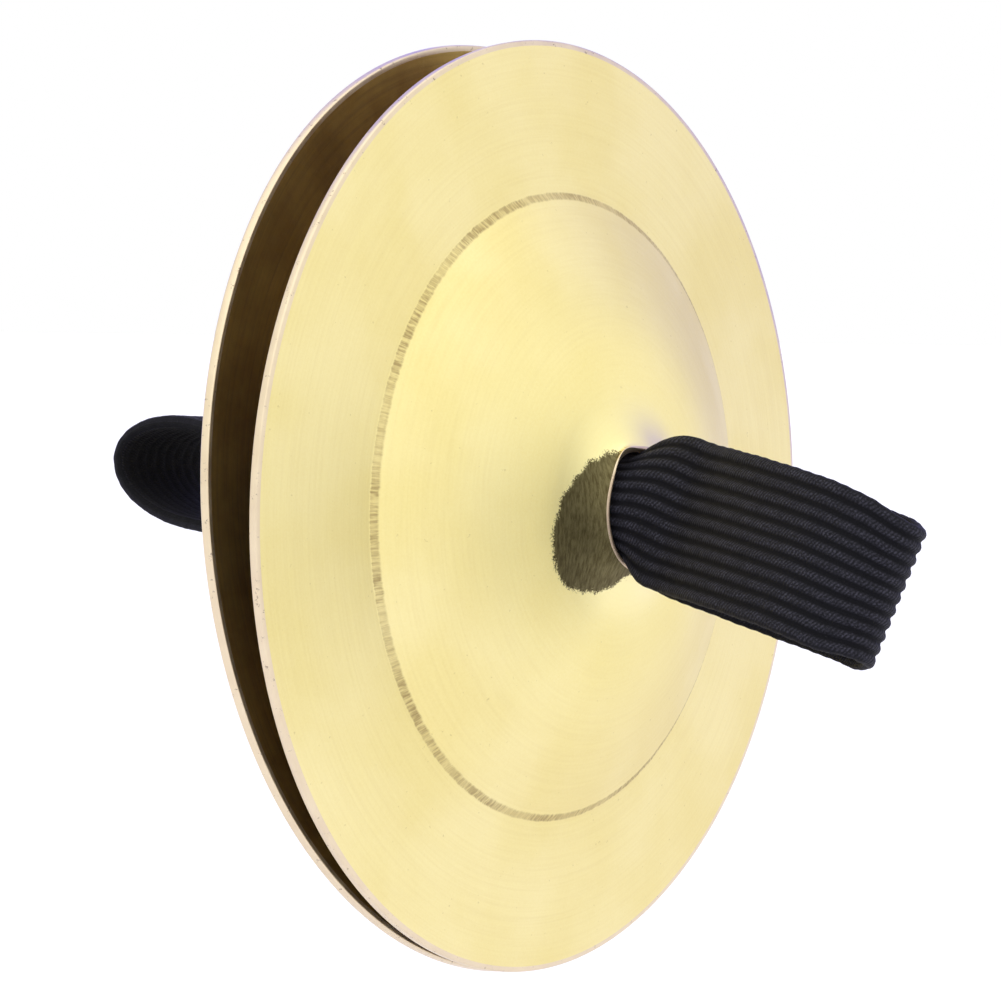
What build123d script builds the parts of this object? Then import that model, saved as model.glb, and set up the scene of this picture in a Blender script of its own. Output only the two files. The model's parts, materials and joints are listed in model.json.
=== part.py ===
from build123d import *
import os
from math import asin, cos, radians, sin, sqrt

# A pair of finger cymbals: two equal dished brass cymbals, mouth to mouth, each with a loop of ribbed
# elastic that passes through the hole in its crown and is knotted inside the bell.
# Millimetres. The front cymbal's axis is Y, its dome points to -Y, and Z is up. The origin is the centre
# of the front cymbal's crown, level with the lip round its hole, where the finger's pad rests.

# --- cymbal ---------------------------------------------------------------------------------------
cymbal_diameter = 60.0
sheet = 0.6                    # thickness of the brass
flange_rise = 1.2              # from the rim to the crease, because the flange is slightly conical
bell_diameter = 40.5           # at the crease round the bell
crease_hollow_radius = 0.4     # the pressed crease: a small hollow, then a rounded shoulder
crease_shoulder_radius = 1.0
crease_slope = 48.0            # steepest slope between the two, in degrees
bell_edge_slope = 31.0         # slope of the dome where it leaves the crease, in degrees
flare_radius = 7.5             # where the dome turns up towards the hole
lip_rise = 1.65                # from there to the lip
hole_edge_radius = 3.85        # outer edge of the lip

# --- how the pair sits ----------------------------------------------------------------------------
touch_gap = 0.05               # between the two rims where they touch
rest_opening = 4.75            # angle between the cymbals, in degrees
touch_heading = 11.1           # place of the touch on the rim, from straight down towards +X, in degrees

# --- elastic strap --------------------------------------------------------------------------------
strap_width = 10.0
strap_thickness = 0.8
loop_length = 19.8             # from the bend at the hole to the far end of the loop
loop_height = 7.4              # across the loop, outside to outside
loop_end_length = 6.4          # of the rounded far end
tongue_half_thickness = 1.0    # where the two legs lie on each other, next to the hole
bend_height = 1.3              # of the bend in the strap, above the lip
bend_radius = 2.2              # half the thickness of the gathered neck
bend_clearance = 0.3
gathered_width = 8.8           # of the loop where it meets the bend
full_width_from = 5.5          # distance from the bend to where the strap is full width
legs_part_at = 4.2             # distance from the bend to where the two legs part
neck_clearance = 0.3           # round the gathered neck, in the hole
knot_radius = 5.0
knot_rounding = 1.8
knot_seat_clearance = 0.5      # between the knot and the crown above it
knot_mouth_clearance = 1.6     # between the knot and the plane of the rim
tail_width = 7.0               # the two cut ends of the strap
tail_reach = 9.5               # from the axis of the bell
tail_height = 3.0              # of the tail's middle, above the plane of the rim
tail_thickness = 1.2
tail_splay = 20.0              # the two ends don't quite point opposite ways, in degrees

# Lean of each loop from its bell's axis, heading of that lean (from up, clockwise seen from outside),
# roll of the strap about its own length, and heading of the tails inside the bell, all in degrees.
straps = {
    "front": {"lean": 15.0, "lean_heading": 214.0, "roll": -18.4, "tail_heading": 12.0},
    "rear": {"lean": 14.9, "lean_heading": 348.5, "roll": 92.8, "tail_heading": -15.0},
}


# --- outline of the bell, worked out from the sizes above -----------------------------------------
def turn(point, radius, slope_from, slope_to):
    """End of an arc that starts at point and runs inwards, turning from one slope to another."""
    run = abs(radius * (sin(slope_to) - sin(slope_from)))
    rise = abs(radius * (cos(slope_to) - cos(slope_from)))
    return (point[0] - run, point[1] + rise)


rim_radius = cymbal_diameter / 2
crease_radius = bell_diameter / 2
steep = radians(crease_slope)
edge = radians(bell_edge_slope)
flange_slope = asin(flange_rise / sqrt((rim_radius - crease_radius) ** 2 + flange_rise ** 2))
rim_top = (rim_radius, sheet * cos(flange_slope))
touch_radius = rim_radius - sheet * sin(flange_slope)
crease_foot = (crease_radius, rim_top[1] + flange_rise)
crease_middle = turn(crease_foot, crease_hollow_radius, flange_slope, steep)
crease_top = turn(crease_middle, crease_shoulder_radius, steep, edge)
dome_radius = crease_top[0] / sin(edge)
dome_centre_height = crease_top[1] - dome_radius * cos(edge)
flare_slope = asin(flare_radius / dome_radius)
flare_foot = (flare_radius, dome_centre_height + dome_radius * cos(flare_slope))
lip = (hole_edge_radius, flare_foot[1] + lip_rise)
crown_height = lip[1]          # of the lip, above the plane of the rim


def bell_outline():
    """Outside of the dished sheet, from the rim to the lip, as radius and height."""
    hollow_middle = turn(crease_foot, crease_hollow_radius, flange_slope, (flange_slope + steep) / 2)
    shoulder_middle = turn(crease_middle, crease_shoulder_radius, steep, (steep + edge) / 2)
    dome_slope = (edge + flare_slope) / 2
    dome_middle = (dome_radius * sin(dome_slope), dome_centre_height + dome_radius * cos(dome_slope))
    return Wire([
        Line(rim_top, crease_foot),
        ThreePointArc(crease_foot, hollow_middle, crease_middle),
        ThreePointArc(crease_middle, shoulder_middle, crease_top),
        ThreePointArc(crease_top, dome_middle, flare_foot),
        TangentArc(flare_foot, lip, tangent=(-cos(flare_slope), sin(flare_slope))),
    ])


outside = bell_outline()
inside = outside.offset_2d(sheet, side=Side.LEFT, closed=False)
inside_ends = sorted(inside.vertices(), key=lambda vertex: vertex.X)
throat = (inside_ends[0].X, inside_ends[0].Y)  # narrowest part of the hole
neck_radius = throat[0] - neck_clearance
bend_place = crown_height + bend_height


def cymbal():
    """The dished sheet, with its mouth at height 0 and its dome upwards."""
    lip_cut = Line(lip, throat)
    rim_cut = Line((inside_ends[-1].X, inside_ends[-1].Y), rim_top)
    section = make_face(Wire([*outside.edges(), lip_cut, *inside.edges(), rim_cut]))
    return revolve(Plane.XZ * section, Axis.Z)


# --- elastic strap, in its bell's own frame: mouth at height 0, dome upwards ----------------------
def strap_frame(strap):
    """Where a strap bends above the hole: Z runs out along its loop, and Y along its width."""
    lean_line = 180 - strap["lean_heading"]
    return Pos(Z=bend_place) * Rot(Z=lean_line) * Rot(X=strap["lean"]) * Rot(Z=strap["roll"] - lean_line)


def loop_outline(inset, foot):
    """The loop seen along its width: two curved legs that start at foot, and a rounded far end."""
    half = loop_height / 2 - inset
    widest = loop_length - loop_end_length
    drop = widest - bend_radius - bend_clearance
    spread = loop_height / 2 - tongue_half_thickness
    leg_radius = (drop ** 2 + spread ** 2) / (2 * spread) - inset
    foot_half = half - leg_radius + sqrt(leg_radius ** 2 - (widest - foot) ** 2)
    far_end = EllipticalCenterArc((0, widest), half, loop_end_length - inset, start_angle=0, arc_size=180)
    right_leg = TangentArc((half, widest), (foot_half, foot), tangent=(0, -1))
    left_leg = TangentArc((-half, widest), (-foot_half, foot), tangent=(0, -1))
    foot_line = Line((-foot_half, foot), (foot_half, foot))
    return make_face(Wire([far_end, right_leg, left_leg, foot_line]))


def width_outline():
    """The loop seen square to its flat legs: gathered at the bend, and full width further out."""
    foot = bend_radius + bend_clearance
    full = (strap_width / 2, full_width_from)
    gathered = (gathered_width / 2, foot)
    flare = TangentArc(full, gathered, tangent=(0, -1))
    side = Line(full, (full[0], loop_length))
    top = Line((full[0], loop_length), (0, loop_length))
    middle = Line((0, loop_length), (0, foot))
    bottom = Line((0, foot), gathered)
    half = make_face(Wire([flare, side, top, middle, bottom]))
    return half + mirror(half, Plane.YZ)


def loop(strap):
    """The part of the strap outside the bell, which the finger goes through."""
    foot = bend_radius + bend_clearance
    ring = loop_outline(0, foot) - loop_outline(strap_thickness, legs_part_at)
    band = extrude(Plane.XZ * ring, strap_width, both=True)
    taper = extrude(Plane.YZ * width_outline(), loop_height, both=True)
    return strap_frame(strap) * (band & taper)


def tail(heading):
    """One cut end of the strap, lying out from the knot inside the bell."""
    flat = Box(tail_width, tail_reach, tail_thickness, align=(Align.CENTER, Align.MIN, Align.CENTER))
    return Pos(Z=tail_height) * flat.rotate(Axis.Z, -heading)


def knot(strap):
    """The gathered neck in the hole, the knot that holds it inside the bell, and the two cut ends."""
    knot_top = throat[1] - knot_seat_clearance
    bun = Cylinder(knot_radius, knot_top - knot_mouth_clearance)
    bun = fillet(bun.edges().filter_by(GeomType.CIRCLE), knot_rounding)
    bun = Pos(Z=(knot_top + knot_mouth_clearance) / 2) * bun
    neck = Box(2 * bend_radius, strap_width, bend_place - tail_height)
    neck = Pos(Z=(bend_place + tail_height) / 2) * neck.rotate(Axis.Z, strap["roll"])
    bend = strap_frame(strap) * Cylinder(bend_radius, strap_width, rotation=(90, 0, 0))
    neck = (neck + bend) & Cylinder(neck_radius, 3 * bend_place)
    tails = tail(strap["tail_heading"]) + tail(strap["tail_heading"] + 180 + tail_splay)
    return bun + neck + tails


# --- places in the frame of the pair --------------------------------------------------------------
touch_turn = radians(touch_heading)
touch = Vector(touch_radius * sin(touch_turn), crown_height + touch_gap / 2, -touch_radius * cos(touch_turn))
rock_frame = Plane(touch, x_dir=(-cos(touch_turn), 0, -sin(touch_turn)), z_dir=(0, 1, 0)).location
closed_frame = Plane((0, crown_height + touch_gap, 0), x_dir=(-1, 0, 0), z_dir=(0, 1, 0)).location
bell_frames = {
    "front": Plane((0, crown_height, 0), x_dir=(1, 0, 0), z_dir=(0, -1, 0)).location,
    "rear": rock_frame * Rot(X=rest_opening) * rock_frame.inverse() * closed_frame,
}


def show(name, frame, axis):
    """Prints the centre, in millimetres, and the direction of a joint or a mount."""
    directions = {"X": Plane(frame).x_dir, "Y": Plane(frame).y_dir, "Z": Plane(frame).z_dir}
    print(name, [round(x, 4) for x in frame.position], [round(x, 6) for x in directions[axis]])


os.makedirs("parts", exist_ok=True)
show("rear_cymbal_rock", rock_frame, "X")
for side, strap in straps.items():
    bell = bell_frames[side]
    bend = bell * strap_frame(strap)
    show(f"{side}_strap_turn", bell * Pos(Z=bend_place), "Z")
    show(f"{side}_strap_bend", bend, "Y")
    show(f"{side}_finger_seat", bell * Pos(Z=crown_height), "Z")
    show(f"{side}_finger_loop", bend * Pos(Z=loop_length - loop_end_length), "Y")
    export_step(bell * cymbal(), f"parts/{side}_cymbal.step")
    export_step(bell * loop(strap), f"parts/{side}_strap_loop.step")
    export_step(bell * knot(strap), f"parts/{side}_strap_knot.step")
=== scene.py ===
import json
from math import asin, atan2, cos, exp, hypot, pi, radians, sin, sqrt

import bpy
import numpy as np
from mathutils import Matrix, Quaternion, Vector


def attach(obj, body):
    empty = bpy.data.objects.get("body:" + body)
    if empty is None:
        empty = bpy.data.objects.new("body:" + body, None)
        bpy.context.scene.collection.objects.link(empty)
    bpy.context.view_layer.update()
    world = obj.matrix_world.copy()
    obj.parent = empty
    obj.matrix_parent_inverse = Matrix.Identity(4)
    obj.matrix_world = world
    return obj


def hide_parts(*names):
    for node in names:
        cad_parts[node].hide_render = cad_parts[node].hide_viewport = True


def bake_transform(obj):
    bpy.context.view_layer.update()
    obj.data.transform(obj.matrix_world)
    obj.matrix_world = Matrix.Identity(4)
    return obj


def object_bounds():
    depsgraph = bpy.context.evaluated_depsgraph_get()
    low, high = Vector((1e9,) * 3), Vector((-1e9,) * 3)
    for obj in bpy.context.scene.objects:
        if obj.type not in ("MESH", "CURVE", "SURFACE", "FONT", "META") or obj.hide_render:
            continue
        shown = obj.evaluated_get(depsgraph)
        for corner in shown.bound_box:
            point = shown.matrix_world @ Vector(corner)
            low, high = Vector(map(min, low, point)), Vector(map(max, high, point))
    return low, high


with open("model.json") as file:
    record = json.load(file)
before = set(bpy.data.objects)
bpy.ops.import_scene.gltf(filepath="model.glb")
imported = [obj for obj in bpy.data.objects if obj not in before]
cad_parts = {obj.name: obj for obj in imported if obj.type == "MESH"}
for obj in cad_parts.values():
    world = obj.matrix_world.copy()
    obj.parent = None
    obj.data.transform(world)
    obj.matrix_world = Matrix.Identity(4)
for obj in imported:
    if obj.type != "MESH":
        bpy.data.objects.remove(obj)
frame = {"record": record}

# A pair of finger cymbals: two dished brass cymbals, each with a loop of ribbed black elastic that comes
# out of the hole in its crown and is knotted inside the bell.
# Sizes are in millimetres, and meshes are scaled to metres as they are made.

MM = 0.001
cad_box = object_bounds()
UV_PER_MM = 0.01

# --- brass, as the CAD has it ---------------------------------------------------------------------
RIM_RADIUS = 30.0
SHEET = 0.6
FLANGE_RISE = 1.2
CREASE_RADIUS = 20.25
HOLLOW_RADIUS = 0.4
SHOULDER_RADIUS = 1.0
CREASE_SLOPE = radians(48.0)
DOME_EDGE_SLOPE = radians(31.0)
FLARE_RADIUS = 7.5
LIP_RISE = 1.65
LIP_RADIUS = 3.85
BRASS_SEGMENTS = 480           # round the bell

# --- brass, as a press and a file leave it --------------------------------------------------------
EDGE_ROUNDING = 0.12           # of the cut edges
LIP_THINNING = 0.4             # share of the sheet that the punch has drawn away at the hole
THINNED_FROM = 5.4             # radius
LIP_ZONE = (5.2, 3.3)          # radii between which the lip's unevenness grows
RIM_ZONE = (29.0, 30.0)
LIP_UNEVENNESS = 0.05
RIM_WEAR = 0.03
BURR_HEADING = 2.12            # of the turned-out burr on the lip, in radians
BURR_SPREAD = 0.33             # in radians
BURR_REACH = 0.85
BURR_DEPTH = 0.6               # how far down the lip it starts
BURR_RISE = 0.12

# --- elastic, as the CAD has it -------------------------------------------------------------------
# Heights are above the bend at the hole, and run out along the loop.
BAND_WIDTH = 10.0
BAND_THICKNESS = 0.8
LOOP_LENGTH = 19.8
LOOP_HEIGHT = 7.4
LOOP_END_LENGTH = 6.4
TONGUE_HALF = 1.0
LEG_FOOT = 2.5

# --- elastic, as it really lies -------------------------------------------------------------------
BAND_FOOT = -6.4               # where the band goes into the knot
NECK_BAND_WIDTH = 8.0          # squeezed together in the hole
NECK_CURL = 1.35               # half the angle that each leg curls through there, in radians
UNCURLED = (-2.4, 3.0)         # heights between which the legs uncurl
WIDENED = (-2.2, 1.6)          # heights between which they widen
PARTED = (-2.2, 5.0)           # heights between which they leave the hole's curve
BENDING = (-1.6, 2.6)          # heights between which the strap bends
RIBS = 11
RIB_GROOVE = 0.16              # depth of the groove between two ribs
INNER_FILL = 0.4               # how far a groove is filled on the inner face, as a share of half the band
INNER_FLATNESS = 0.85          # how much of that filling is there
CORNER_LENGTH = 4.0            # where the selvedges are pulled in at the far end
CORNER_PULL = {"front": 0.5, "rear": 0.0}
END_SHIFT = {"front": 0.30, "rear": 0.40}
KNOT_LOW = 1.6                 # heights above the plane of the rim
KNOT_HIGH = 7.5
TAIL_WIDTH = 7.0
TAIL_REACH = 9.3
TAIL_HEIGHT = 3.0
TAIL_THICKNESS = 0.8
TAIL_RIBS = 8
TAIL_HEADINGS = {"front": (12.0, 212.0), "rear": (-15.0, 185.0)}   # in degrees
KNOT_SPREAD = 1.12             # size of the knot's three lobes
STRAND = (1.6, 1.75)           # half thickness of the strand in the knot, outwards and upwards
FRINGE_PER_RIB = 5             # loose threads at a cut end

# --- studio ---------------------------------------------------------------------------------------
LENS = 201.13
CAMERA_PLACE = (-294.202, -198.812, 17.838)
CAMERA_FORWARD = (0.812891, 0.580398, -0.048440)
OVERHEAD_STRENGTH = 0.75
OVERHEAD_SPREAD = radians(100)
SKY_WHITE = (1.14, 1.14, 1.14, 1.0)
SKY_LILAC = (0.50, 0.46, 1.40, 1.0)
LILAC_SIDE = (0.85, 0.52, 0.0)
LILAC_FROM, LILAC_FULL = 0.28, 0.86        # cosines of the angle from that side
FLOOR_DROP = 32.0              # room under the pair for the rear cymbal to swing open
FLOOR_REACH = 3000.0
FLOOR_ROWS = 25


# --- frames ---------------------------------------------------------------------------------------
def columns(x, y, z, origin):
    """Matrix of a frame with these axes, in metres."""
    turned = Matrix((x, y, z)).transposed().to_4x4()
    return Matrix.Translation(origin) @ turned


def mount(name):
    """A mount of the record, by name."""
    return next(m for m in frame["record"]["mounts"] if m["name"] == name)


def joint(name):
    """A joint of the record, by name."""
    return next(j for j in frame["record"]["behaviour"]["joints"] if j["name"] == name)


def bell_frame(side):
    """Origin at the middle of the lip, Z out of the dome, Y up."""
    seat = mount(f"{side}_finger_seat")
    out = Vector(seat["axis"]).normalized()
    up = Vector((0, 0, 1))
    up = (up - out * up.dot(out)).normalized()
    return columns(up.cross(out), up, out, Vector(seat["pos_m"]))


def strap_frame(side):
    """Origin where the strap bends, Z out along the loop, Y along the width."""
    bend = Vector(joint(f"{side}_strap_bend")["pos_m"])
    loop = mount(f"{side}_finger_loop")
    out = (Vector(loop["pos_m"]) - bend).normalized()
    width = Vector(loop["axis"])
    width = (width - out * width.dot(out)).normalized()
    return columns(width.cross(out), width, out, bend)


def smooth(low, high, x):
    """0 at low, 1 at high, and a soft step between them."""
    t = min(1.0, max(0.0, (x - low) / (high - low)))
    return t * t * (3 - 2 * t)


def mix(a, b, t):
    """The value a share t of the way from a to b."""
    return a + (b - a) * t


# --- meshes ---------------------------------------------------------------------------------------
def new_object(name, points, faces, matrix=None, uvs=None, slots=None):
    """A smooth-shaded mesh object. points are in millimetres, in the frame that matrix gives."""
    mesh = bpy.data.meshes.new(name)
    mesh.from_pydata([tuple(c * MM for c in p) for p in points], [], faces)
    mesh.polygons.foreach_set("use_smooth", [True] * len(mesh.polygons))
    if slots is not None:
        mesh.polygons.foreach_set("material_index", slots)
    if uvs is not None:
        layer = mesh.uv_layers.new(name="weave")
        loop_points = np.empty(len(mesh.loops), dtype=np.int32)
        mesh.loops.foreach_get("vertex_index", loop_points)
        layer.data.foreach_set("uv", np.asarray(uvs, dtype=np.float32)[loop_points].ravel())
    mesh.update()
    piece = bpy.data.objects.new(name, mesh)
    bpy.context.scene.collection.objects.link(piece)
    if matrix is not None:
        piece.matrix_world = matrix
    return piece


def grid_faces(rows, per_row, wrap_rows=False, wrap_columns=False):
    """Quads between neighbouring points of a grid, row after row."""
    faces = []
    for i in range(rows if wrap_rows else rows - 1):
        for j in range(per_row if wrap_columns else per_row - 1):
            a = i * per_row + j
            b = i * per_row + (j + 1) % per_row
            c = ((i + 1) % rows) * per_row + (j + 1) % per_row
            d = ((i + 1) % rows) * per_row + j
            faces.append((a, b, c, d))
    return faces


# --- brass shape ----------------------------------------------------------------------------------
def bell_section():
    """Closed outline of the sheet as (radius, height above the lip, zone), from the rim inwards over the
    outside, round the lip, and back out along the inside. Zone 0 is outside, 1 a cut edge, 2 inside."""
    flange_slope = asin(FLANGE_RISE / hypot(RIM_RADIUS - CREASE_RADIUS, FLANGE_RISE))
    rim_top = (RIM_RADIUS, SHEET * cos(flange_slope))
    foot = (CREASE_RADIUS, rim_top[1] + FLANGE_RISE)
    run = []                                     # (x, height, slope) along the outside

    def straight(a, b, slope, count):
        for k in range(count):
            run.append((mix(a[0], b[0], k / count), mix(a[1], b[1], k / count), slope))

    def arc(start, radius, slope_from, slope_to, count, hollow):
        way = -1 if hollow else 1
        centre = (start[0] - way * radius * sin(slope_from), start[1] - way * radius * cos(slope_from))
        for k in range(count):
            slope = mix(slope_from, slope_to, k / count)
            x = centre[0] + way * radius * sin(slope)
            run.append((x, centre[1] + way * radius * cos(slope), slope))
        return (centre[0] + way * radius * sin(slope_to), centre[1] + way * radius * cos(slope_to))

    straight(rim_top, foot, flange_slope, 26)
    middle = arc(foot, HOLLOW_RADIUS, flange_slope, CREASE_SLOPE, 7, True)
    shoulder = arc(middle, SHOULDER_RADIUS, CREASE_SLOPE, DOME_EDGE_SLOPE, 5, False)
    dome_radius = shoulder[0] / sin(DOME_EDGE_SLOPE)
    flare_slope = asin(FLARE_RADIUS / dome_radius)
    flare_foot = arc(shoulder, dome_radius, DOME_EDGE_SLOPE, flare_slope, 40, False)
    chord_slope = atan2(LIP_RISE, FLARE_RADIUS - LIP_RADIUS)
    chord = hypot(LIP_RISE, FLARE_RADIUS - LIP_RADIUS)
    lip_slope = 2 * chord_slope - flare_slope
    bend = chord / (2 * sin(chord_slope - flare_slope))
    lip = arc(flare_foot, bend, flare_slope, lip_slope, 16, True)
    run.append((lip[0], lip[1], lip_slope))

    def offset(point, inwards):
        return (point[0] - inwards * sin(point[2]), point[1] - inwards * cos(point[2]))

    def thinned(radius):
        """Thickness of the sheet, which the punch has drawn thinner next to the hole."""
        return SHEET * (1 - LIP_THINNING * smooth(THINNED_FROM, LIP_RADIUS, radius))

    def rounded_edge(point, way):
        """The cut edge at one end of the sheet, with a small rounding at both corners."""
        along = (-cos(point[2]) * way, sin(point[2]) * way)
        cut = []
        for turn, side in ((0, 1), (30, 1), (60, 1), (90, 1), (90, -1), (60, -1), (30, -1), (0, -1)):
            out = EDGE_ROUNDING * (sin(radians(turn)) - 1)
            in_ = EDGE_ROUNDING * (1 - cos(radians(turn)))
            base = offset(point, in_ if side > 0 else thinned(point[0]) - in_)
            cut.append((base[0] + along[0] * out, base[1] + along[1] * out, 1))
        return cut

    lip_height = lip[1]
    trimmed = run[1:-1]
    section = [(p[0], p[1], 0) for p in trimmed]
    section += rounded_edge(run[-1], 1)
    section += [(*offset(p, thinned(p[0])), 2) for p in reversed(trimmed)]
    section += reversed(rounded_edge(run[0], -1))
    return [(radius, height - lip_height, zone) for radius, height, zone in section]


def ripple(angle, seed, waves):
    """A small smooth unevenness round a bell, mostly within plus and minus one."""
    total = 0.0
    for k in range(waves):
        total += sin((k + 2) * angle + seed * (1.7 * k + 1.0)) / (k + 1.5)
    return total / 1.2


def make_cymbal(side, seed):
    """The dished sheet, with cut edges that are not quite even, as hand-finished sheet has."""
    section = bell_section()
    points = []
    for i in range(BRASS_SEGMENTS):
        angle = 2 * pi * i / BRASS_SEGMENTS
        for radius, height, _ in section:
            near_lip = smooth(*LIP_ZONE, radius)
            near_rim = smooth(*RIM_ZONE, radius)
            burr = near_lip * exp(-((angle - BURR_HEADING) / BURR_SPREAD) ** 2)
            flap = BURR_REACH * burr * smooth(-BURR_DEPTH, 0.0, height)
            lip_wander = LIP_UNEVENNESS * near_lip * ripple(angle, seed, 7)
            wear = RIM_WEAR * near_rim * (1 + ripple(angle, seed + 3, 9))
            lift = LIP_UNEVENNESS * near_lip * ripple(angle, seed + 5, 4) + BURR_RISE * burr
            r = radius + (flap + lip_wander - wear)
            points.append((r * cos(angle), r * sin(angle), height + lift))
    count = len(section)
    faces = grid_faces(BRASS_SEGMENTS, count, wrap_rows=True, wrap_columns=True)
    zones = [zone for _, _, zone in section]
    bands = [zones[j] if zones[j] == zones[(j + 1) % count] else 1 for j in range(count)]
    slots = bands * BRASS_SEGMENTS
    piece = new_object(f"{side}_cymbal_brass", points, faces, bell_frame(side), slots=slots)
    for material in (brass_outside(side), brass_edge(), brass_inside()):
        piece.data.materials.append(material)
    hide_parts(f"{side}_cymbal")
    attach(piece, f"{side}_cymbal")


# --- elastic shape --------------------------------------------------------------------------------
def rib_profile(across, ribs):
    """Half thickness, as a share of the full half, at a place across the band from 0 to 1."""
    place = (across * ribs) % 1.0
    groove = abs(cos(pi * place)) ** 3
    end = min(across, 1 - across) * ribs
    edge = sqrt(max(0.0, 1 - (1 - min(1.0, 2 * end)) ** 2))
    thinnest = 0.12
    return min(1 - 2 * RIB_GROOVE / BAND_THICKNESS * groove, max(edge, thinnest))


def band_section(width, curl, thickness, ribs, per_rib=8):
    """Closed cross-section of a curled ribbed band, as (outwards, along the width, across), where across
    goes from 0 to 1 on the outer face and back on the inner one, which is nearly flat."""
    count = ribs * per_rib
    section = []
    for face in (1, -1):
        for k in range(count + 1):
            across = k / count if face > 0 else 1 - k / count
            t = 2 * across - 1
            share = rib_profile(across, ribs)
            if face < 0:
                share = -mix(share, min(1.0, share + INNER_FILL), INNER_FLATNESS)
            half = thickness / 2 * share
            if curl < 1e-3:
                section.append((half, t * width / 2, across))
                continue
            radius = width / (2 * curl)
            angle = t * curl
            section.append(((radius + half) * cos(angle) - radius, (radius + half) * sin(angle), across))
    return section


def closed_band(stations, count):
    """Faces of a band with count points at each station, and a cap at each end."""
    faces = grid_faces(stations, count, wrap_columns=True)
    faces.append(tuple(range(count)))
    faces.append(tuple(reversed([(stations - 1) * count + k for k in range(count)])))
    return faces


def leg_line(z):
    """Distance of the middle of a leg's thickness from the middle of the loop."""
    widest = LOOP_LENGTH - LOOP_END_LENGTH
    spread = LOOP_HEIGHT / 2 - TONGUE_HALF
    leg_radius = ((widest - LEG_FOOT) ** 2 + spread ** 2) / (2 * spread)
    flat = LOOP_HEIGHT / 2 - BAND_THICKNESS / 2
    on_arc = flat - leg_radius + sqrt(leg_radius ** 2 - (widest - max(z, LEG_FOOT)) ** 2)
    in_hole = NECK_BAND_WIDTH / (2 * NECK_CURL)
    return mix(in_hole, on_arc, smooth(*PARTED, z))


def band_stations():
    """Places along the band from knot to knot: (x, z, outward normal, curl, width, distance)."""
    widest = LOOP_LENGTH - LOOP_END_LENGTH
    semi_x = LOOP_HEIGHT / 2 - BAND_THICKNESS / 2
    semi_z = LOOP_END_LENGTH - BAND_THICKNESS / 2
    half = []
    z = BAND_FOOT
    while z < widest - 0.05:
        half.append((leg_line(z), z))
        z += 0.22
    steps = 36
    for k in range(steps + 1):
        turn = pi / 2 * k / steps
        half.append((semi_x * cos(turn), widest + semi_z * sin(turn)))
    line = half + [(-x, z) for x, z in reversed(half[:-1])]
    stations = []
    distance = 0.0
    for i, (x, z) in enumerate(line):
        before = line[max(0, i - 1)]
        after = line[min(len(line) - 1, i + 1)]
        tangent = Vector((after[0] - before[0], after[1] - before[1])).normalized()
        normal = (tangent[1], -tangent[0])
        curl = NECK_CURL * (1 - smooth(*UNCURLED, z))
        width = mix(NECK_BAND_WIDTH, BAND_WIDTH, smooth(*WIDENED, z))
        if i:
            distance += hypot(x - line[i - 1][0], z - line[i - 1][1])
        stations.append((x, z, normal, curl, width, distance))
    return stations


def unevenness(distance, across):
    """How much thicker or thinner the band is here, as a factor."""
    return 1 + 0.04 * sin(7.1 * distance + 40 * across) * sin(3.3 * distance - 17 * across)


def make_loop(side):
    """One ribbed band from the knot out through the hole, round the finger and back."""
    strap = strap_frame(side)
    bell = bell_frame(side)
    bend = strap.translation
    lean = (strap.to_3x3().col[2]).rotation_difference(bell.to_3x3().col[2])
    points, uvs = [], []
    stations = band_stations()
    for x, z, normal, curl, width, distance in stations:
        section = band_section(width, curl, BAND_THICKNESS, RIBS)
        upright = 1 - smooth(*BENDING, z)
        turned = Quaternion().slerp(lean, upright)
        at_end = smooth(LOOP_LENGTH - LOOP_END_LENGTH, LOOP_LENGTH, z)
        pulled_in = CORNER_PULL[side] * smooth(LOOP_LENGTH - CORNER_LENGTH, LOOP_LENGTH, z) ** 2
        slack = 0.012 * sin(1.9 * distance) + 0.018 * sin(6.3 * distance + 1.0)
        for k, (out, along, across) in enumerate(section):
            along -= pulled_in * (2 * across - 1) + END_SHIFT[side] * at_end
            along += slack * (2 * across - 1) * smooth(0.0, 3.0, z)
            out *= unevenness(distance, across)
            local = Vector((x + normal[0] * out, along, z + normal[1] * out)) * MM
            point = bend + turned @ (strap.to_3x3() @ local)
            points.append(tuple(c / MM for c in point))
            row = across if 2 * k < len(section) else 2 - across
            uvs.append((distance * UV_PER_MM, row * BAND_WIDTH * UV_PER_MM))
    faces = closed_band(len(stations), len(section))
    piece = new_object(f"{side}_elastic_loop", points, faces, uvs=uvs)
    piece.data.materials.append(elastic())
    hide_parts(f"{side}_strap_loop")
    out = strap.to_3x3().col[2]
    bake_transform(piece)   # the bend is already shaped into the points, as BENDING says


def knot_path(t):
    """Line of an overhand knot pulled tight, round the axis of the bell."""
    flat = (KNOT_HIGH - KNOT_LOW) / 2 - STRAND[1]
    middle = (KNOT_HIGH + KNOT_LOW) / 2
    x = KNOT_SPREAD * (sin(t) + 2 * sin(2 * t))
    y = KNOT_SPREAD * (cos(t) - 2 * cos(2 * t))
    return Vector((x, y, middle - flat * sin(3 * t)))


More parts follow.
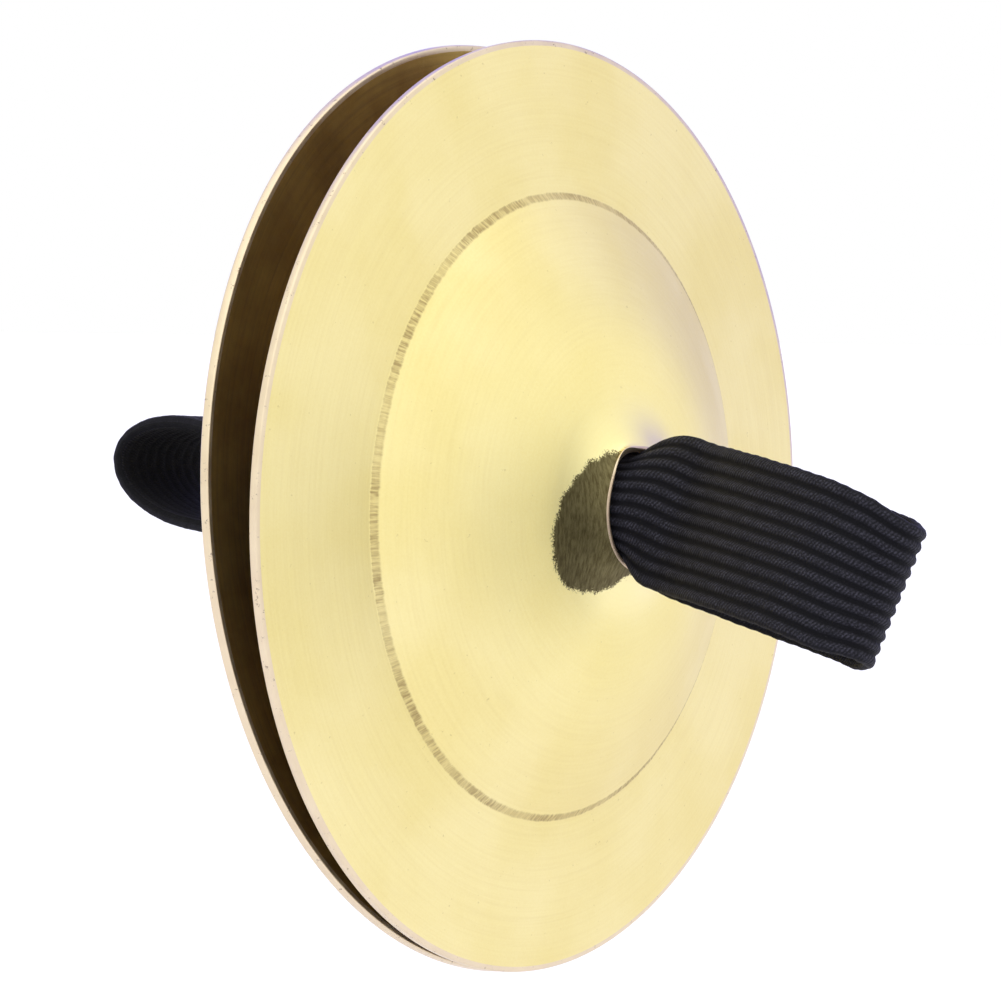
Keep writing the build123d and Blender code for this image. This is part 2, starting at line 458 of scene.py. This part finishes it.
def knot_tube():
    """The gathered band along the knot's line, with its ribs running lengthwise."""
    steps, around = 260, 72
    points, uvs = [], []
    distance = 0.0
    for i in range(steps):
        t = 2 * pi * i / steps
        here = knot_path(t)
        ahead = knot_path(t + 0.01)
        tangent = (ahead - here).normalized()
        outwards = Vector((here.x, here.y, 0.0))
        outwards = (outwards - tangent * outwards.dot(tangent)).normalized()
        upwards = tangent.cross(outwards)
        for k in range(around):
            angle = 2 * pi * k / around
            rib = 1 - 0.09 * abs(cos(6 * angle)) ** 3 + 0.03 * sin(3 * t + angle)
            wide, high = (half * rib for half in STRAND)
            points.append(here + outwards * (wide * cos(angle)) + upwards * (high * sin(angle)))
            uvs.append((distance * UV_PER_MM, k / around * BAND_WIDTH * UV_PER_MM))
        distance += (knot_path(2 * pi * (i + 1) / steps) - here).length
    return points, grid_faces(steps, around, wrap_rows=True, wrap_columns=True), uvs


def add_thread(points, uvs, faces, turn, start, tip, number):
    """One loose thread: a thin tapered tube with a slight wave in it."""
    corners = 5
    first = len(points)
    for share, radius in ((0.0, 0.11), (0.5, 0.09), (1.0, 0.03)):
        wave = Vector((0.08 * sin(number + 3 * share), 0, 0.08 * cos(2 * number + 4 * share)))
        centre = start.lerp(tip, share) + wave
        for corner in range(corners):
            angle = 2 * pi * corner / corners
            points.append(turn @ (centre + Vector((radius * cos(angle), 0, radius * sin(angle)))))
            uvs.append((share * UV_PER_MM, corner * UV_PER_MM / 10))
    for ring in range(2):
        for corner in range(corners):
            a = first + ring * corners + corner
            b = first + ring * corners + (corner + 1) % corners
            faces.append((a, a + corners, b + corners, b))
    faces.append(tuple(first + 2 * corners + corner for corner in range(corners)))
    faces.append(tuple(first + corners - 1 - corner for corner in range(corners)))


def tail_band(heading, seed):
    """One cut end of the strap, which lies out from the knot, and the loose threads at its end."""
    turn = Matrix.Rotation(radians(-heading), 3, "Z")
    points, uvs = [], []
    steps = 44
    root = 1.2
    longest_thread = 0.9
    reach = TAIL_REACH - longest_thread
    for i in range(steps + 1):
        share = i / steps
        y = root + (reach - root) * share
        curl = 0.75 * (1 - share) + 0.12
        width = mix(5.2, TAIL_WIDTH, smooth(0.0, 0.7, share))
        droop = 0.35 * sin(pi * share + seed)
        section = band_section(width, curl, TAIL_THICKNESS, TAIL_RIBS)
        for out, along, across in section:
            wave = 0.10 * sin(5 * across + 3 * share + seed)
            cut = 0.12 * sin(9 * across + seed) * share
            points.append(turn @ Vector((along, y + cut, TAIL_HEIGHT + out + droop + wave)))
            uvs.append((y * UV_PER_MM, across * TAIL_WIDTH * UV_PER_MM))
    faces = closed_band(steps + 1, len(section))
    random = np.random.default_rng(int(seed * 10))
    threads = TAIL_RIBS * FRINGE_PER_RIB
    end_height = TAIL_HEIGHT + 0.35 * sin(pi + seed)
    for k in range(threads):
        x = (k + 0.5) / threads * TAIL_WIDTH - TAIL_WIDTH / 2
        start = Vector((x, reach - 0.1, end_height + random.uniform(-0.3, 0.3)))
        lean = (random.normal(0, 0.18), random.uniform(0.35, longest_thread), random.normal(0, 0.16))
        tip = start + Vector(lean)
        add_thread(points, uvs, faces, turn, start, tip, k)
    return points, faces, uvs


def make_knot(side):
    """The knot inside the bell, and the strap's two cut ends."""
    points, faces, uvs = [], [], []
    parts = [knot_tube()]
    parts += [tail_band(heading, seed) for heading, seed in zip(TAIL_HEADINGS[side], (0.7, 2.9))]
    for part_points, part_faces, part_uvs in parts:
        first = len(points)
        points += part_points
        uvs += part_uvs
        faces += [tuple(first + k for k in face) for face in part_faces]
    heights = [height for _, height, _ in bell_section()]
    crown = max(heights) - min(heights)
    lowered = [(p[0], p[1], p[2] - crown) for p in points]
    piece = new_object(f"{side}_elastic_knot", lowered, faces, bell_frame(side), uvs=uvs)
    piece.data.materials.append(elastic())
    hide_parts(f"{side}_strap_knot")
    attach(piece, f"{side}_neck")


# --- materials ------------------------------------------------------------------------------------
class Nodes:
    """Short calls for building a material's node tree."""

    def __init__(self, name):
        self.material = bpy.data.materials.new(name)
        self.material.use_nodes = True
        self.tree = self.material.node_tree
        self.tree.nodes.clear()
        self.shader = self.tree.nodes.new("ShaderNodeBsdfPrincipled")
        output = self.tree.nodes.new("ShaderNodeOutputMaterial")
        self.tree.links.new(self.shader.outputs[0], output.inputs["Surface"])

    def put(self, value, socket):
        if hasattr(value, "is_output"):
            self.tree.links.new(value, socket)
        else:
            socket.default_value = value

    def math(self, operation, a, b=0.0, clamp=False):
        node = self.tree.nodes.new("ShaderNodeMath")
        node.operation = operation
        node.use_clamp = clamp
        self.put(a, node.inputs[0])
        self.put(b, node.inputs[1])
        return node.outputs[0]

    def noise(self, vector, scale, detail=3.0, roughness=0.55):
        node = self.tree.nodes.new("ShaderNodeTexNoise")
        self.put(vector, node.inputs["Vector"])
        node.inputs["Scale"].default_value = scale
        node.inputs["Detail"].default_value = detail
        node.inputs["Roughness"].default_value = roughness
        return node.outputs["Fac"]

    def ramp(self, value, low, high, to_low=0.0, to_high=1.0):
        node = self.tree.nodes.new("ShaderNodeMapRange")
        node.interpolation_type = "SMOOTHSTEP"
        self.put(value, node.inputs["Value"])
        node.inputs["From Min"].default_value = low
        node.inputs["From Max"].default_value = high
        node.inputs["To Min"].default_value = to_low
        node.inputs["To Max"].default_value = to_high
        return node.outputs["Result"]

    def colour(self, factor, a, b):
        node = self.tree.nodes.new("ShaderNodeMix")
        node.data_type = "RGBA"
        self.put(factor, node.inputs["Factor"])
        self.put((*a, 1.0) if isinstance(a, tuple) else a, node.inputs["A"])
        self.put((*b, 1.0) if isinstance(b, tuple) else b, node.inputs["B"])
        return node.outputs["Result"]

    def split(self, vector):
        node = self.tree.nodes.new("ShaderNodeSeparateXYZ")
        self.put(vector, node.inputs[0])
        return node.outputs

    def join(self, x, y, z):
        node = self.tree.nodes.new("ShaderNodeCombineXYZ")
        for value, socket in zip((x, y, z), node.inputs):
            self.put(value, socket)
        return node.outputs[0]

    def place(self):
        """Object coordinates, in millimetres."""
        node = self.tree.nodes.new("ShaderNodeTexCoord")
        scale = self.tree.nodes.new("ShaderNodeVectorMath")
        scale.operation = "SCALE"
        self.put(node.outputs["Object"], scale.inputs[0])
        scale.inputs["Scale"].default_value = 1 / MM
        return scale.outputs[0]

    def bump(self, height, depth, strength=1.0, under=None):
        node = self.tree.nodes.new("ShaderNodeBump")
        node.inputs["Strength"].default_value = strength
        node.inputs["Distance"].default_value = depth * MM
        self.put(height, node.inputs["Height"])
        if under is not None:
            self.put(under, node.inputs["Normal"])
        return node.outputs[0]

    def set(self, **values):
        for name, value in values.items():
            self.put(value, self.shader.inputs[name.replace("_", " ")])


MATERIALS = {}


def once(build):
    """Makes each choice of a material only the first time it is asked for."""
    def give(*choices):
        key = (build.__name__, *choices)
        if key not in MATERIALS:
            MATERIALS[key] = build(*choices)
        return MATERIALS[key]
    return give


def round_the_bell(n):
    """Place and radius in millimetres, and the heading round the bell as a unit vector's x and y."""
    place = n.place()
    x, y, _ = n.split(place)
    radius = n.math("SQRT", n.math("ADD", n.math("MULTIPLY", x, x), n.math("MULTIPLY", y, y)))
    unit_x = n.math("DIVIDE", x, n.math("MAXIMUM", radius, 0.1))
    unit_y = n.math("DIVIDE", y, n.math("MAXIMUM", radius, 0.1))
    return place, radius, unit_x, unit_y


def painted_strap_reflection(n, place, base):
    """The brass colour with a dark olive mark, rough at its border, where the strap lies over the flare: a
    painted reflection of the black strap in the flared crown.
    """
    x, y, _ = n.split(place)
    up = n.math("ADD", y, 0.6)
    along = n.math("SUBTRACT", n.math("ADD", x, 3.1), n.math("MULTIPLY", up, 0.25))
    squares = n.math("ADD", n.math("MULTIPLY", along, along), n.math("MULTIPLY", up, up))
    from_middle = n.math("SQRT", squares)
    ragged = n.math("ADD", n.math("MULTIPLY", n.noise(place, 0.8, 2.0), 0.8),
                    n.math("MULTIPLY", n.noise(place, 7.0, 4.0, 0.8), 1.3))
    strap_reflection_mask = n.ramp(n.math("ADD", from_middle, ragged), 5.45, 5.62, 1.0, 0.0)
    streaks = n.join(n.math("MULTIPLY", x, 6.0), n.math("MULTIPLY", y, 1.2), 0.0)
    strap_reflection_tone = n.noise(streaks, 1.0, 4.0, 0.7)
    depth = n.math("MULTIPLY", strap_reflection_mask, n.ramp(strap_reflection_tone, 0.3, 0.7, 0.97, 0.86))
    return n.colour(depth, base, (0.066, 0.050, 0.018))


@once
def brass_outside(side):
    """Satin sheet with fine turning lines, and a tarnished, tool-marked crease round the bell, painted
    paler towards the hole: a painted highlight, partly polish. The front cymbal also has a dark, ragged
    mark on one side of its hole: a painted reflection of the strap."""
    n = Nodes(f"{side}_brass_outside")
    place, radius, unit_x, unit_y = round_the_bell(n)
    turning = n.noise(n.join(n.math("MULTIPLY", unit_x, 2.2), n.math("MULTIPLY", unit_y, 2.2),
                             n.math("MULTIPLY", radius, 5.0)), 1.0, 4.0, 0.65)
    clouds = n.noise(place, 0.11, 3.0, 0.5)
    grain = n.noise(place, 5.5, 3.0, 0.7)
    base = n.colour(n.ramp(clouds, 0.3, 0.7), (0.84, 0.735, 0.33), (0.88, 0.785, 0.40))
    base = n.colour(n.math("MULTIPLY", n.ramp(turning, 0.35, 0.75), 0.10), base, (0.62, 0.47, 0.18))
    round_the_ring = n.join(n.math("MULTIPLY", unit_x, 30.0), n.math("MULTIPLY", unit_y, 30.0), 0.0)
    uneven = n.math("SUBTRACT", n.noise(round_the_ring, 1.0, 3.0, 0.7), 0.5)
    wandered = n.math("ADD", radius, n.math("MULTIPLY", uneven, 0.22))
    ring_low = n.ramp(wandered, 19.66, 19.82)
    ring_high = n.ramp(wandered, 20.12, 20.24, 1.0, 0.0)
    ring = n.math("MULTIPLY", ring_low, ring_high)
    ticks = n.noise(n.join(n.math("MULTIPLY", unit_x, 95.0), n.math("MULTIPLY", unit_y, 95.0),
                           n.math("MULTIPLY", radius, 0.8)), 1.0, 2.0, 0.8)
    broad = n.join(n.math("MULTIPLY", unit_x, 3.0), n.math("MULTIPLY", unit_y, 3.0), 0.0)
    patches = n.noise(broad, 1.0, 3.0)
    mark = n.math("MULTIPLY", n.ramp(ticks, 0.34, 0.66), n.ramp(patches, 0.3, 0.6, 0.25, 1.0))
    tarnish = n.math("MULTIPLY", ring, n.math("ADD", n.math("MULTIPLY", mark, 0.50), 0.22), clamp=True)
    base = n.colour(tarnish, base, (0.29, 0.20, 0.085))
    specks = n.ramp(n.noise(place, 2.6, 2.0, 0.5), 0.72, 0.78)
    base = n.colour(n.math("MULTIPLY", specks, 0.25), base, (0.35, 0.24, 0.09))
    # Both bells are painted paler towards the hole: a painted highlight, partly polish wear.
    polish_and_highlight = n.ramp(radius, 6.0, 17.0, 1.0, 0.0)
    base = n.colour(n.math("MULTIPLY", polish_and_highlight, 0.5), base, (1.0, 0.92, 0.46))
    # The front bell gets the dark mark by its hole: a painted reflection of the strap in the flared crown.
    if side == "front":
        base = painted_strap_reflection(n, place, base)
    dulled = n.ramp(radius, 4.5, 8.5, 0.44, 0.68)
    satin = n.math("ADD", dulled, n.ramp(radius, 9.0, 14.0, 0.0, -0.11))
    rough = n.math("ADD", satin, n.ramp(grain, 0.3, 0.7, -0.03, 0.05))
    n.set(Base_Color=base, Metallic=1.0, Roughness=n.math("ADD", rough, n.math("MULTIPLY", tarnish, 0.15)))
    n.shader.inputs["Specular Tint"].default_value = (0.80, 0.77, 1.0, 1.0)
    height = n.math("ADD", n.math("MULTIPLY", grain, 0.7), n.math("MULTIPLY", turning, 0.3))
    marks = n.bump(n.math("MULTIPLY", ring, ticks), 0.04, 0.8)
    n.set(Normal=n.bump(height, 0.012, 0.7, marks))
    return n.material


@once
def brass_edge():
    """The sheet's cut edge: paler and pinker, with dark nicks, and painted shade on the lip's edge in the
    hole.
    """
    n = Nodes("brass_edge")
    place, radius, unit_x, unit_y = round_the_bell(n)
    along = n.join(n.math("MULTIPLY", unit_x, 40.0), n.math("MULTIPLY", unit_y, 40.0), 0.0)
    nicks = n.ramp(n.noise(place, 1.9, 4.0, 0.8), 0.61, 0.69)
    # The lip's cut edge in the hole is painted darker: painted shade.
    in_hole = n.ramp(radius, 3.9, 4.3, 0.72, 0.15)
    tone = n.noise(place, 0.5, 3.0)
    base = n.colour(tone, (0.70, 0.57, 0.38), (0.88, 0.77, 0.54))
    base = n.colour(n.math("MULTIPLY", nicks, 0.8), base, (0.12, 0.085, 0.06))
    base = n.colour(in_hole, base, (0.48, 0.34, 0.235))
    n.set(Base_Color=base, Metallic=0.92, Roughness=n.ramp(tone, 0.3, 0.7, 0.30, 0.42))
    n.set(Normal=n.bump(n.noise(along, 2.0, 4.0, 0.7), 0.03, 0.7))
    return n.material


@once
def brass_inside():
    """The inside, left as it was pressed: browner, and stained in blotches."""
    n = Nodes("brass_inside")
    place, radius, unit_x, unit_y = round_the_bell(n)
    turning = n.noise(n.join(n.math("MULTIPLY", unit_x, 2.0), n.math("MULTIPLY", unit_y, 2.0),
                             n.math("MULTIPLY", radius, 4.0)), 1.0, 4.0, 0.65)
    blotches = n.noise(place, 0.22, 4.0, 0.6)
    grain = n.noise(place, 4.0, 3.0, 0.7)
    base = n.colour(n.ramp(blotches, 0.2, 0.85), (0.43, 0.29, 0.075), (0.64, 0.47, 0.13))
    base = n.colour(n.math("MULTIPLY", n.ramp(turning, 0.4, 0.8), 0.3), base, (0.10, 0.06, 0.025))
    base = n.colour(n.ramp(radius, 4.3, 5.3, 0.85, 0.0), base, (0.86, 0.72, 0.46))
    n.set(Base_Color=base, Metallic=0.95, Roughness=n.ramp(grain, 0.3, 0.7, 0.28, 0.42))
    n.set(Normal=n.bump(n.math("ADD", grain, turning), 0.012, 0.6))
    return n.material


@once
def elastic():
    """Black woven elastic: fine threads laid across each rib, with a little lint and wear, painted
    highlights on the rib crowns and selvedges, and painted shade in the grooves and on a loop's inner face.
    """
    n = Nodes("elastic")
    node = n.tree.nodes.new("ShaderNodeUVMap")
    node.uv_map = "weave"
    along, across, _ = n.split(node.outputs["UV"])
    along = n.math("MULTIPLY", along, 1 / UV_PER_MM)
    across = n.math("MULTIPLY", across, 1 / UV_PER_MM)
    place = n.place()
    rib = n.math("FRACT", n.math("MULTIPLY", across, RIBS / BAND_WIDTH))
    crown = n.math("SINE", n.math("MULTIPLY", rib, pi))
    wander = n.noise(n.join(along, across, 0.0), 1.6, 2.0)
    slant = n.math("ADD", n.math("MULTIPLY", rib, 0.42), n.math("MULTIPLY", wander, 0.30))
    thread_pitch = 0.24
    phase = n.math("MULTIPLY", n.math("ADD", along, slant), 2 * pi / thread_pitch)
    threads = n.math("MULTIPLY", n.math("ADD", n.math("SINE", phase), 1.0), 0.5)
    finer = n.join(n.math("MULTIPLY", along, 3.0), n.math("MULTIPLY", across, 3.0), 0.0)
    fuzz = n.noise(finer, 2.4, 4.0, 0.7)
    lint = n.ramp(n.noise(place, 7.0, 2.0, 0.6), 0.70, 0.78)
    worn = n.ramp(n.noise(n.join(along, across, 0.0), 0.9, 3.0), 0.3, 0.7, 0.6, 1.0)
    yarn = n.math("ADD", n.math("MULTIPLY", threads, 0.6), 0.25)
    # The rib crowns are painted lighter and the grooves darker over the thread pattern: painted highlight
    # and shade.
    crown_highlight_on_weave = n.math("MULTIPLY", n.math("MULTIPLY", yarn, n.ramp(crown, 0.35, 1.0)), worn)
    mottled_highlight = n.math("MULTIPLY", crown_highlight_on_weave, n.ramp(fuzz, 0.38, 0.62, 0.12, 1.45))
    base = n.colour(mottled_highlight, (0.0030, 0.0029, 0.0046), (0.0440, 0.0430, 0.0580))
    # On a loop, across runs from 0 to 10 on the outer face, and from 10 to 20 on the inner one.
    # A loop's inner face is painted near black: painted shade inside the loop.
    inner = n.math("MULTIPLY", n.ramp(across, 10.2, 10.5), n.ramp(across, 19.5, 19.8, 1.0, 0.0))
    base = n.colour(inner, base, (0.0040, 0.0038, 0.0052))
    # The selvedges are painted lighter than the inner face: a painted highlight along the band's edges.
    near_side = n.ramp(across, 0.0, 0.22, 1.0, 0.0)
    far_side = n.math("MULTIPLY", n.ramp(across, 9.78, 10.0), n.ramp(across, 10.2, 10.5, 1.0, 0.0))
    selvedge_highlight = n.math("MAXIMUM", near_side, far_side)
    base = n.colour(n.math("MULTIPLY", selvedge_highlight, 0.8), base, (0.0085, 0.008, 0.0125))
    base = n.colour(n.math("MULTIPLY", lint, 0.3), base, (0.07, 0.07, 0.08))
    n.set(Base_Color=base, Metallic=0.0, Roughness=n.ramp(fuzz, 0.3, 0.7, 0.62, 0.85))
    n.shader.inputs["Sheen Weight"].default_value = 0.02
    n.shader.inputs["Specular IOR Level"].default_value = 0.12
    weave = n.bump(n.math("MULTIPLY", threads, n.ramp(crown, 0.1, 0.7)), 0.03, 0.7)
    n.set(Normal=n.bump(fuzz, 0.03, 0.5, weave))
    return n.material


# --- studio ---------------------------------------------------------------------------------------
def make_camera():
    """The camera at the photograph's viewing angle."""
    camera = bpy.data.objects.new("camera", bpy.data.cameras.new("camera"))
    bpy.context.scene.collection.objects.link(camera)
    camera.data.lens = LENS
    camera.data.sensor_width = 36.0
    camera.data.clip_start = 0.01
    camera.rotation_euler = Vector(CAMERA_FORWARD).to_track_quat("-Z", "Y").to_euler()
    camera.location = Vector(CAMERA_PLACE) * MM
    bpy.context.scene.camera = camera


def make_sky_light():
    """One very soft light from above, like a big overhead softbox."""
    data = bpy.data.lights.new("overhead", "SUN")
    data.energy = OVERHEAD_STRENGTH
    data.angle = OVERHEAD_SPREAD
    light = bpy.data.objects.new("overhead", data)
    bpy.context.scene.collection.objects.link(light)
    light.rotation_euler = (radians(12), radians(-14), 0)


def make_world():
    """A white studio all round that turns dim and lilac on one side. The camera sees plain white."""
    world = bpy.data.worlds.new("studio")
    world.use_nodes = True
    tree = world.node_tree
    tree.nodes.clear()
    output = tree.nodes.new("ShaderNodeOutputWorld")
    direction = tree.nodes.new("ShaderNodeTexCoord").outputs["Generated"]
    side = tree.nodes.new("ShaderNodeVectorMath")
    side.operation = "DOT_PRODUCT"
    side.inputs[1].default_value = Vector(LILAC_SIDE).normalized()
    tree.links.new(direction, side.inputs[0])
    turn = tree.nodes.new("ShaderNodeMapRange")
    turn.interpolation_type = "SMOOTHSTEP"
    turn.inputs["From Min"].default_value = LILAC_FROM
    turn.inputs["From Max"].default_value = LILAC_FULL
    tree.links.new(side.outputs["Value"], turn.inputs["Value"])
    tone = tree.nodes.new("ShaderNodeMix")
    tone.data_type = "RGBA"
    tone.inputs["A"].default_value = SKY_WHITE
    tone.inputs["B"].default_value = SKY_LILAC
    tree.links.new(turn.outputs["Result"], tone.inputs["Factor"])
    studio = tree.nodes.new("ShaderNodeBackground")
    tree.links.new(tone.outputs["Result"], studio.inputs["Color"])
    backdrop = tree.nodes.new("ShaderNodeBackground")
    backdrop.inputs["Color"].default_value = (1.0, 1.0, 1.0, 1.0)
    seen = tree.nodes.new("ShaderNodeLightPath")
    pick = tree.nodes.new("ShaderNodeMixShader")
    tree.links.new(seen.outputs["Is Camera Ray"], pick.inputs["Fac"])
    tree.links.new(studio.outputs[0], pick.inputs[1])
    tree.links.new(backdrop.outputs[0], pick.inputs[2])
    tree.links.new(pick.outputs[0], output.inputs[0])
    bpy.context.scene.world = world


def make_floor():
    """A plain pale floor, below the pair."""
    low = cad_box[0][2] / MM - FLOOR_DROP
    lines = [mix(-FLOOR_REACH, FLOOR_REACH, i / (FLOOR_ROWS - 1)) for i in range(FLOOR_ROWS)]
    points = [(x, y, low) for x in lines for y in lines]
    faces = [tuple(reversed(face)) for face in grid_faces(FLOOR_ROWS, FLOOR_ROWS)]
    floor = new_object("floor", points, faces)
    n = Nodes("floor")
    tone = n.noise(n.place(), 0.02, 2.0)
    n.set(Base_Color=n.colour(tone, (0.93, 0.93, 0.93), (0.95, 0.95, 0.95)), Roughness=0.9)
    floor.data.materials.append(n.material)


# --- the whole ------------------------------------------------------------------------------------
bpy.context.scene.view_settings.view_transform = "Standard"
make_camera()
make_world()
make_floor()
make_sky_light()
for side, seed in (("front", 1.3), ("rear", 4.1)):
    make_cymbal(side, seed)
    make_loop(side)
    make_knot(side)
